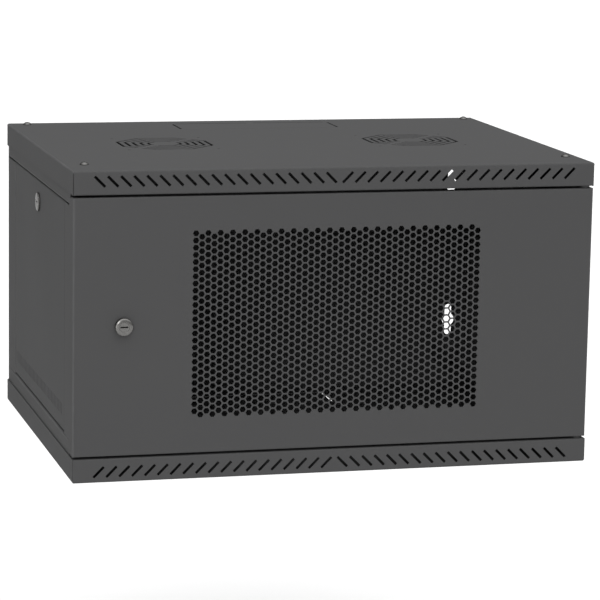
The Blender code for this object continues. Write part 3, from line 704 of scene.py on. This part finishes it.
def door():
    """A tray with the honeycomb; three of its folds are cut shallower than the fourth."""
    low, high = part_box("door")
    half = (high.x, (high.z - low.z) / 2)
    middle = (high.z + low.z) / 2
    depth = high.y - low.y
    bm = new_sheet()
    edges = honeycomb(bm, FIELD_Z - middle)
    edges += outline_edges(bm, [circle(DOOR_LOCK[0], DOOR_LOCK[1] - middle, LOCK_HOLE, 32)])

    def pin_side(v):
        def skirt(bm):
            hole = circle(HINGE[0], low.y - HINGE[1], PIN_HOLE)
            return loop_edges(bm, [(a, v, b) for a, b in hole]), []
        return skirt

    tray(bm, half, depth, DOOR_BENDS, edges, {0: pin_side(-half[1]), 2: pin_side(half[1])})
    outward(bm)
    item = thicken(make("door_sheet", bm), SHEET)
    cut(item, corner_seams("door_seams", half, DOOR_SEAM_START, depth))
    spare, back = 0.01, -depth - 0.002
    cut(item, block("door_trim", (half[0] - 2 * SHEET, -half[1] - spare, back),
                    (half[0] + spare, half[1] + spare, -HINGE_DEPTH)))
    for side in (-1, 1):
        levels = sorted((side * (half[1] - 1.2 * SHEET), side * (half[1] + spare)))
        cut(item, block("door_trim", (-half[0] - spare, levels[0], back),
                        (half[0] + spare, levels[1], -EDGE_DEPTH)))
    item.data.transform(plane_frame((0, low.y, middle), (1, 0, 0), (0, 0, 1)))
    stand_for(smooth(item), "door", "powder_coat")


# ---- side panels ----
VENTS, VENT_PITCH, VENT_SIZE = 33, 0.0095, (0.0135, 0.0025)
VENT_MIDDLE = (0.003, 0.069)          # Y and Z
PAN_BENDS, PAN_SEAM_START = (0.0018, 0.0018), 0.0025


def side_panel(label, side):
    """A pan with a band of vents below and the lock's hole above."""
    node = "side_panel_" + label
    low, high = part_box(node)
    half = ((high.y - low.y) / 2, (high.z - low.z) / 2)
    middle = ((high.y + low.y) / 2, (high.z + low.z) / 2)
    outlines = [circle(side * (SIDE_LOCK[0] - middle[0]), SIDE_LOCK[1] - middle[1], LOCK_HOLE, 32)]
    for k in range(VENTS):
        u = side * (VENT_MIDDLE[0] - middle[0] + (k - (VENTS - 1) / 2) * VENT_PITCH)
        outlines.append(oblong(u, VENT_MIDDLE[1] - middle[1], *VENT_SIZE, math.pi / 2))
    bm = new_sheet()
    tray(bm, half, high.x - low.x, PAN_BENDS, outline_edges(bm, outlines))
    mark_bend(bm, bm.verts, False)     # a side panel's bends are sunk, and get no painted highlight
    outward(bm)
    item = thicken(make(node + "_sheet", bm), THIN)
    cut(item, corner_seams(node + "_seams", half, PAN_SEAM_START, high.x - low.x))
    face = high.x if side > 0 else low.x
    item.data.transform(plane_frame((face, *middle), (0, side, 0), (0, 0, 1)))
    stand_for(smooth(item), node, "powder_coat")


# ---- frame ----
SIDE = 0.2985                 # outer face of rails and posts
LIP = 0.2885                  # inner edge of the lips that stand round a side's opening
OPENING = (-0.1645, 0.1745)   # from the front posts to the rear posts, along Y
POST_BEND = 0.0010
SEAT_EDGE = 0.2705            # inner edge of the rails' level flanges
FRONT_EDGE, REAR_EDGE = 0.2773, 0.2853     # inner edges of the posts' front and rear flanges
KEYHOLE_X, KEYHOLE_Z = 0.275, (0.0857, 0.2623)


def flip(path, side):
    """A path for the left or the right side."""
    return [(side * u, v) for u, v in path]


def rails_and_posts():
    """The frame's four level rails and four posts."""
    wall = SIDE - SHEET / 2
    for label, side in SIDES.items():
        for level in ("top", "bottom"):
            node = "rail_%s_%s" % (level, label)
            low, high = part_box(node)
            lip = low.z + SHEET / 2 if level == "top" else high.z - SHEET / 2
            seat = high.z - SHEET / 2 if level == "top" else low.z + SHEET / 2
            path = [(SEAT_EDGE, seat), (wall, seat), (wall, lip), (LIP, lip)]
            holes = [[(u, v, seat) for u, v in circle(x, y, SCREW_HOLE)]
                     for x, y in CORNER_SCREWS.values() if x * side > 0]
            item = folded(node + "_sheet", flip(path, side), "Y", low.y, high.y, {0: holes})
            stand_for(item, node, "powder_coat")
        for end in ("front", "rear"):
            node = "post_%s_%s" % (end, label)
            low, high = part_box(node)
            if end == "front":
                path = [(FRONT_EDGE, low.y + SHEET / 2), (wall, low.y + SHEET / 2),
                        (wall, OPENING[0] - SHEET / 2), (LIP, OPENING[0] - SHEET / 2)]
            else:
                path = [(LIP, OPENING[1] + SHEET / 2), (wall, OPENING[1] + SHEET / 2),
                        (wall, high.y - SHEET / 2), (REAR_EDGE, high.y - SHEET / 2)]
            item = folded(node + "_sheet", flip(path, side), "Z", low.z, high.z,
                          radius=POST_BEND)
            stand_for(item, node, "powder_coat")


def rear_panel():
    """A flat sheet with a double keyhole near each corner."""
    low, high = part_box("rear_panel")
    outline = [(low.x, low.z), (high.x, low.z), (high.x, high.z), (low.x, high.z)]
    holes = [keyhole(x, z) for x in (-KEYHOLE_X, KEYHOLE_X) for z in KEYHOLE_Z]
    outlines = [[(-u, v) for u, v in each] for each in [outline] + holes]
    place = plane_frame((0, high.y, 0), (-1, 0, 0), (0, 0, 1))
    stand_for(plate("rear_panel_sheet", outlines, THIN, place), "rear_panel", "powder_coat")


# ---- equipment rails and their channels ----
UNIT, UNITS = 0.04445, 6
UNIT_HOLES = (0.00635, 0.022225, 0.0381)
HOLE_X, HOLE_SIDE = 0.23255, 0.0095
RAIL_T = 0.0015
RAIL_BEND, RAIL_EDGE = 0.002, 0.2255
CHANNEL_INNER = 0.2538
RAIL_AIR = 0.00035            # between a rail and its channels
BOLT_HOLE = 0.0034
SLOT_LENGTH, SLOT_WIDTH, SLOT_MIDDLE = 0.069, 0.0072, 0.115


def equipment_rail(label, side):
    """An angle with three square holes to a unit, and holes for its bolts."""
    node = "equipment_rail_" + label
    low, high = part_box(node)
    flank = CHANNEL_INNER - RAIL_AIR - RAIL_T / 2
    skin = low.y + RAIL_T / 2
    path = [(RAIL_EDGE, skin), (flank, skin), (flank, high.y)]
    first = (high.z + low.z) / 2 - UNITS * UNIT / 2
    places = [first + unit * UNIT + hole for unit in range(UNITS) for hole in UNIT_HOLES]
    squares = [[(u, skin, v) for u, v in oblong(side * HOLE_X, z, HOLE_SIDE, HOLE_SIDE,
                                                0.0, 0.0006, 2)] for z in places]
    rounds = [[(side * flank, u, v) for u, v in circle(BOLT_Y, z, BOLT_HOLE, 16)]
              for z in CHANNEL_Z.values()]
    item = folded(node + "_sheet", flip(path, side), "Z", low.z, high.z,
                  {0: squares, 1: rounds}, RAIL_T, RAIL_BEND)
    stand_for(item, node, "powder_coat")


def channels():
    """The channels that carry the equipment rails, each with two long slots."""
    for label, side in SIDES.items():
        for level, z in CHANNEL_Z.items():
            node = "channel_%s_%s" % (level, label)
            low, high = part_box(node)
            inner = CHANNEL_INNER + SHEET / 2
            outer = max(abs(low.x), abs(high.x))
            top, foot = high.z - SHEET / 2, low.z + SHEET / 2
            path = [(outer, top), (inner, top), (inner, foot), (outer, foot)]
            slots = [[(side * inner, u, v) for u, v in oblong(y, z, SLOT_LENGTH, SLOT_WIDTH)]
                     for y in (-SLOT_MIDDLE, SLOT_MIDDLE)]
            item = folded(node + "_sheet", flip(path, side), "Y", low.y, high.y, {1: slots})
            stand_for(item, node, "powder_coat")


# ---- fasteners ----
def cross_recess(name, reach_out, depth, top, matrix):
    """The tapered cross of a screw head's recess, as a cutting tool."""
    arm = reach_out * 0.26
    outline = [(arm, reach_out), (-arm, reach_out), (-arm, arm), (-reach_out, arm),
               (-reach_out, -arm), (-arm, -arm), (-arm, -reach_out), (arm, -reach_out),
               (arm, -arm), (reach_out, -arm), (reach_out, arm), (arm, arm)]
    return prism(name, outline, top - depth, top + 0.002, matrix, 0.45)


def dome(radius, height, steps=8):
    """The upper half of a lens, from its middle out to its rim."""
    ball = (radius ** 2 + height ** 2) / (2 * height)
    wide = math.asin(radius / ball)
    return [(ball * math.sin(wide * k / steps) if k else 0.0,
             height - ball + ball * math.cos(wide * k / steps)) for k in range(steps + 1)]


def screw(node, slot, matrix, head, height, shank, length, material=None):
    """A domed screw with a cross recess, about the matrix's own Z axis."""
    rim = 0.0004
    profile = [(radius, level + rim) for radius, level in dome(head, height - rim)]
    profile += [(head, 0.0002), (head - 0.0002, 0), (shank, 0)]
    turns = max(2, int(length / 0.0008))
    for k in range(turns):
        step = length / turns
        profile += [(shank, -step * (k + 0.35)), (shank * 0.86, -step * (k + 0.75))]
    profile += [(shank * 0.8, -length), (0, -length)]
    item = turned(node + "_turned", profile, matrix, 32)
    cut(item, cross_recess(node + "_cross", head * 0.52, height * 0.75, height, matrix))
    stand_for(smooth(item, 0.00008, 1, 60), node, slot, material)


def hex_nut(node, slot, matrix, radius, bore, thickness):
    """A six-sided nut with chamfered corners; its outer face is at local zero."""
    ease = radius * (1 - math.cos(math.pi / 6))
    drop = ease * 0.6
    item = prism(node + "_nut", circle(0, 0, radius, 6), -thickness, 0.0, matrix)
    lens = [(0, 0), (radius - ease, 0), (radius + 0.0002, -drop),
            (radius + 0.0002, -thickness + drop), (radius - ease, -thickness), (0, -thickness)]
    cut(item, turned(node + "_lens", lens, matrix, 48), "INTERSECT")
    tool = [(0, 0.002), (bore + 0.0022, 0.002), (bore, -0.0003), (bore, -thickness + 0.0003),
            (bore + 0.0022, -thickness - 0.002), (0, -thickness - 0.002)]
    cut(item, turned(node + "_bore", tool, matrix, 32))
    stand_for(smooth(item, 0.0001, 1, 55), node, slot)


def axis_frame(direction, at):
    """A matrix whose Z axis points in a direction, at a point."""
    turn = Vector((0, 0, 1)).rotation_difference(Vector(direction)).to_matrix().to_4x4()
    return Matrix.Translation(at) @ turn


# Of a screw: the head's radius and height, the shank's radius, and the length.
CORNER_SIZES = {"top": (0.0050, 0.0030, 0.0023), "bottom": (0.0045, 0.0024, 0.0023)}
RAIL_BOLT = (0.0058, 0.0038, 0.0030, 0.0120)
RAIL_NUT = (0.0058, 0.0034, 0.0050)        # radius at the corners, bore and thickness


def corner_screws():
    """The screws of the two caps; those on top stand at different turns."""
    for name, (x, y) in CORNER_SCREWS.items():
        for level, (head, height, shank) in CORNER_SIZES.items():
            node = "screw_%s_%s" % (level, name)
            low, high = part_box(node)
            seat = high.z - height
            turn, slot, material = (
                (0.35 + 7 * x + 5 * y, "nickel", STEEL) if level == "top" else (0.0, "zinc", None))
            place = Matrix.Translation((x, y, seat)) @ Matrix.Rotation(turn, 4, "Z")
            screw(node, slot, place, head, high.z - seat, shank, seat - low.z, material)


def rail_fasteners():
    """A bolt and a nut at each place where a rail crosses a channel."""
    flange = CHANNEL_INNER - RAIL_AIR - RAIL_T
    for label, side in SIDES.items():
        for level, z in CHANNEL_Z.items():
            place = axis_frame((-side, 0, 0), (side * (flange - GAP), BOLT_Y, z))
            screw("rail_bolt_%s_%s" % (level, label), "zinc", place, *RAIL_BOLT)
            face = CHANNEL_INNER + SHEET + GAP
            place = axis_frame((-side, 0, 0), (side * face, BOLT_Y, z))
            hex_nut("rail_nut_%s_%s" % (level, label), "zinc", place, *RAIL_NUT)


# ---- locks ----
BARREL_R, BORE_R, PLUG_R = 0.008, 0.0057, 0.0056
KEYWAY = (0.0088, 0.0017, 0.006)           # length, width and depth
LOCK_BEVEL = 0.55             # rise of the head's bevel over its width
LOCK_NUT_R, LOCK_NUT_T = 0.0122, 0.0030
LOCK_THREAD, STUD_THREAD = 0.0010, 0.0008
# Of a lock: the head's radius at its rim and at its face, its height, and the barrel's length.
DOOR_LOCK_SIZE = (0.0097, 0.0080), 0.0065, 0.0272
SIDE_LOCK_SIZE = (0.0108, 0.0100), 0.0025, 0.0108
DOOR_CAM_REACH, SIDE_CAM_REACH, CAM_HOLE = 0.0415, 0.0320, 0.0034


def lock(kind, matrix, radii, head, length, sheet):
    """A cam lock: barrel, plug with its key slot, and nut, about local Z."""
    outer, face = radii
    drop = (outer - face) * LOCK_BEVEL
    profile = [(BORE_R, head - 0.0001), (BORE_R + 0.0001, head), (face, head),
               (outer - 0.0001, head - drop), (outer, head - drop - 0.0002),
               (outer, GAP), (BARREL_R, GAP)]
    start = -sheet - GAP
    turns = int((length + start) / LOCK_THREAD)
    for k in range(turns):
        level = start - k * LOCK_THREAD
        profile += [(BARREL_R, level - 0.0003), (BARREL_R - 0.0004, level - 0.0006)]
    profile += [(BARREL_R, -length + GAP), (BORE_R, -length + GAP)]
    item = turned(kind + "_barrel_turned", profile, matrix, 64, True)
    stand_for(smooth(item, 0.0), kind + "_barrel", "nickel")
    lock_plug(kind, matrix, head, length)
    hex_nut(kind + "_nut", "zinc", matrix @ Matrix.Translation((0, 0, start)),
            LOCK_NUT_R, BARREL_R + 0.0004, LOCK_NUT_T)


def lock_plug(kind, matrix, head, length):
    """The turning plug, with a key slot and a threaded stud."""
    face = head - 0.0001
    stud, tail = 0.0030, -length - 0.0048
    profile = [(0, face), (PLUG_R - 0.0001, face), (PLUG_R, face - 0.0001), (PLUG_R, -length),
               (stud, -length)]
    for k in range(6):
        level = -length - STUD_THREAD * k
        profile += [(stud, level - 0.0002), (stud * 0.88, level - 0.0005)]
    profile += [(stud * 0.8, tail), (0, tail)]
    item = turned(kind + "_plug_turned", profile, matrix, 48)
    slot_length, slot_width, depth = KEYWAY
    level = Vector((1, 0, 0) if kind == "door_lock" else (0, 1, 0))
    along = matrix.to_3x3().inverted() @ level
    turn = Matrix.Rotation(math.atan2(along.y, along.x), 4, "Z")
    outline = oblong(0, 0, slot_length, slot_width, 0.0, 0.0004, 2)
    cut(item, prism(kind + "_key", outline, head - depth, head + 0.001, matrix @ turn))
    stand_for(smooth(item, 0.00012, 1, 60), kind + "_plug", "nickel")


def cam_outline(length):
    """A flat cam: round about its hole, straight to its rounded tip."""
    wide, slim, tip = 0.0085, 0.0065, 0.002
    return [*arc(0, 0, wide, math.pi / 2, math.pi, 16), (0.010, -slim),
            *arc(length - tip, tip - slim, tip, -math.pi / 2, math.pi / 2, 4),
            *arc(length - tip, slim - tip, tip, 0, math.pi / 2, 4), (0.010, slim)]


def cam(kind, reach_out, thickness, place):
    """The cam on a lock's stud."""
    outlines = [cam_outline(reach_out), circle(0, 0, CAM_HOLE)]
    item = plate(kind + "_cam_plate", outlines, thickness, place, 0.0002, 2)
    stand_for(item, kind + "_cam", "zinc")


def locks():
    """The lock in the door and the one in each side panel."""
    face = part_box("door")[0].y
    lock("door_lock", axis_frame((0, -1, 0), (DOOR_LOCK[0], face, DOOR_LOCK[1])),
         *DOOR_LOCK_SIZE, SHEET)
    low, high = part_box("door_lock_cam")
    place = plane_frame((DOOR_LOCK[0], high.y, DOOR_LOCK[1]), (0, 0, -1), (-1, 0, 0))
    cam("door_lock", DOOR_CAM_REACH, high.y - low.y, place)
    for label, side in SIDES.items():
        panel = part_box("side_panel_" + label)
        outer = panel[1].x if side > 0 else panel[0].x
        kind = "side_lock_" + label
        lock(kind, axis_frame((side, 0, 0), (outer, *SIDE_LOCK)), *SIDE_LOCK_SIZE, THIN)
        low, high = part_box(kind + "_cam")
        outer = high.x if side > 0 else low.x
        place = plane_frame((outer, *SIDE_LOCK), (0, 1, 0), (0, 0, side))
        cam(kind, SIDE_CAM_REACH, high.x - low.x, place)


# ---- hinge ----
PIN_R, LEVER_R = 0.0025, 0.0020
RING_R, RING_Z = 0.0036, 0.2990            # of the upper pin's ring, which the spring lifts
BRACKET_BEND = 0.0015
COIL_R, WIRE_R, COIL_TURNS = 0.0043, 0.0004, 9


def hinge():
    """The fixed pin below, the sprung pin with its lever above, and their washers."""
    x, y = HINGE
    axis = Matrix.Translation((x, y, 0))
    low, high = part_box("hinge_pin_lower")
    profile = [(0, high.z), (0.0020, high.z), (PIN_R, high.z - 0.0005),
               (PIN_R, low.z + 0.0007), (0.0018, low.z), (0, low.z)]
    item = turned("hinge_pin_lower_turned", profile, axis, 32)
    stand_for(smooth(item, 0.0), "hinge_pin_lower", "zinc")
    for label in ("lower", "upper"):
        low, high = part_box("hinge_washer_" + label)
        radius, ease = high.x - x, 0.0003
        profile = [(PIN_HOLE, low.z), (radius - ease, low.z), (radius, low.z + ease),
                   (radius, high.z - ease), (radius - ease, high.z), (PIN_HOLE, high.z)]
        item = turned("hinge_washer_%s_turned" % label, profile, axis, 32, True)
        stand_for(smooth(item, 0.0), "hinge_washer_" + label, "powder_coat")
    low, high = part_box("hinge_pin_upper")
    profile = [(0, high.z), (0.0012, high.z), (0.0018, high.z - 0.0004),
               (PIN_R, high.z - 0.0014), (PIN_R, RING_Z + 0.0010), (0.0034, RING_Z + 0.0010),
               (RING_R, RING_Z + 0.0008), (RING_R, RING_Z + 0.0002), (0.0034, RING_Z),
               (PIN_R, RING_Z), (PIN_R, low.z + 0.0004), (0.0021, low.z), (0, low.z)]
    item = turned("hinge_pin_upper_turned", profile, axis, 32)
    reach_out = x - low.x
    lever = [(0, reach_out), (0.0015, reach_out), (LEVER_R, reach_out - 0.0005),
             (LEVER_R, -0.0005), (0, -0.0005)]
    place = axis_frame((-1, 0, 0), (x, y, low.z + 0.0026))
    cut(item, turned("hinge_lever", lever, place, 24), "UNION")
    stand_for(smooth(item, 0.0), "hinge_pin_upper", "zinc")
    bracket()
    spring()


def bracket():
    """The folded bracket that guides the upper pin."""
    x, y = HINGE
    low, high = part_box("hinge_bracket")
    wall = high.x - SHEET / 2
    top, foot = high.z - SHEET / 2, low.z + SHEET / 2
    path = [(low.x, top), (wall, top), (wall, foot), (low.x, foot)]
    holes = {run: [[(u, v, level) for u, v in circle(x, y, PIN_HOLE)]]
             for run, level in ((0, top), (2, foot))}
    item = folded("hinge_bracket_sheet", path, "Y", low.y, high.y, holes, SHEET,
                  BRACKET_BEND)
    stand_for(item, "hinge_bracket", "zinc")


def spring():
    """A coil spring whose end turns lie flat."""
    x, y = HINGE
    low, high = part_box("hinge_spring")
    around = 20                   # points to a turn
    curve = bpy.data.curves.new("hinge_spring_coil", "CURVE")
    curve.dimensions = "3D"
    curve.bevel_depth = WIRE_R
    curve.bevel_resolution = 2
    curve.use_fill_caps = True
    spline = curve.splines.new("POLY")
    spline.points.add(COIL_TURNS * around)
    for k, point in enumerate(spline.points):
        share = min(max((k / around - 1) / (COIL_TURNS - 2), 0), 1)
        rise = low.z + WIRE_R + (high.z - low.z - 2 * WIRE_R) * share
        turn = 2 * math.pi * k / around
        point.co = (x + COIL_R * math.cos(turn), y + COIL_R * math.sin(turn), rise, 1)
    source = placed("coil", curve)
    bpy.context.view_layer.update()
    graph = bpy.context.evaluated_depsgraph_get()
    mesh = bpy.data.meshes.new_from_object(source.evaluated_get(graph))
    bpy.data.objects.remove(source)
    bpy.data.curves.remove(curve)
    stand_for(smooth(placed("hinge_spring_coil", mesh), 0.0), "hinge_spring", "zinc")


# ---- studio ----
AZIMUTH, ELEVATION, ROLL = math.radians(-14.986), math.radians(10.106), 0.017649
TARGET = (0.016741, 0.0, 0.157601)
DISTANCE = 3.440636
FOCAL = 4.7936                # in picture widths
SENSOR = 36.0


def camera():
    """A long lens, aimed at the target and rolled a little."""
    out = Vector((-math.sin(AZIMUTH) * math.cos(ELEVATION),
                  math.cos(AZIMUTH) * math.cos(ELEVATION), -math.sin(ELEVATION)))
    right = out.cross(Vector((0, 0, 1))).normalized()
    up = right.cross(out)
    cos, sin = math.cos(ROLL), math.sin(ROLL)
    right, up = right * cos + up * sin, up * cos - right * sin
    data = bpy.data.cameras.new("camera")
    data.sensor_width = SENSOR
    data.lens = FOCAL * SENSOR
    data.clip_start, data.clip_end = 0.05, 200.0
    item = placed("camera", data)
    turn = Matrix((right, up, -out)).transposed().to_4x4()
    item.matrix_world = Matrix.Translation(Vector(TARGET) - out * DISTANCE) @ turn
    bpy.context.scene.camera = item


FLOOR_Z = -0.35               # a wall cabinet hangs, so the floor lies lower
FLOOR_TONE = (0.70, 0.70, 0.70, 1.0)
SKY_TOP, SKY_RIM = 2.8, 0.25
SKY_LEAN = (0.20, -0.50)      # how much brighter it is to the right and to the rear
KEY_AT, KEY_SIZE, KEY_POWER = (-2.0, -4.1, 1.6), (1.4, 1.4), 50.0
CARD_AT, CARD_SIZE, CARD_POWER = (-2.8, -2.6, 0.1), (1.8, 1.0), 8.0
LIGHT_AIM = (0, 0, 0.17)


def softbox(name, at, aim, size, power):
    """A rectangular light that isn't itself seen."""
    data = bpy.data.lights.new(name, "AREA")
    data.shape = "RECTANGLE"
    data.size, data.size_y = size
    data.energy = power
    item = placed(name, data)
    item.location = at
    item.rotation_euler = (Vector(aim) - Vector(at)).to_track_quat("-Z", "Y").to_euler()
    item.visible_camera = False
    return item


def sky():
    """A soft sky, brightest overhead and to the front, and white where it is seen."""
    n = Nodes(bpy.data.worlds.new("studio"), "Background")
    n.give("Color", (1.0, 1.0, 1.0, 1.0))
    toward = n.split("Generated")
    height = n.math("POWER", n.math("MAXIMUM", toward["Z"], 0.0), 2.0)
    soft = n.math("ADD", n.math("MULTIPLY", height, SKY_TOP), SKY_RIM)
    lean = n.math("ADD", *(n.math("MULTIPLY", toward[axis], share)
                           for axis, share in zip("XY", SKY_LEAN)))
    leaning = n.math("MULTIPLY", soft, n.math("ADD", lean, 1.0))
    seen = n.add("ShaderNodeLightPath").outputs["Is Camera Ray"]
    n.give("Strength", n.math("MAXIMUM", leaning, seen))
    bpy.context.scene.world = n.owner


def studio():
    """The sky, the lights and the floor."""
    sky()
    bpy.context.scene.view_settings.view_transform = "Standard"
    softbox("key", KEY_AT, LIGHT_AIM, KEY_SIZE, KEY_POWER)
    card = softbox("card", CARD_AT, LIGHT_AIM, CARD_SIZE, CARD_POWER)
    card.visible_diffuse = False       # it only shows in the polished metal
    bm = bmesh.new()
    bmesh.ops.create_grid(bm, x_segments=4, y_segments=4, size=40)
    floor = make("floor", bm, Matrix.Translation((0, 0, FLOOR_Z)))
    n = Nodes(bpy.data.materials.new("floor"))
    n.give("Base Color", FLOOR_TONE)
    n.give("Roughness", 0.9)
    n.give("Specular IOR Level", 0.1)
    floor.data.materials.append(n.owner)


cap("top_panel", True)
cap("bottom_panel", False)
door()
for label, side in SIDES.items():
    side_panel(label, side)
    equipment_rail(label, side)
rails_and_posts()
rear_panel()
channels()
rail_fasteners()
corner_screws()
locks()
hinge()
camera()
studio()
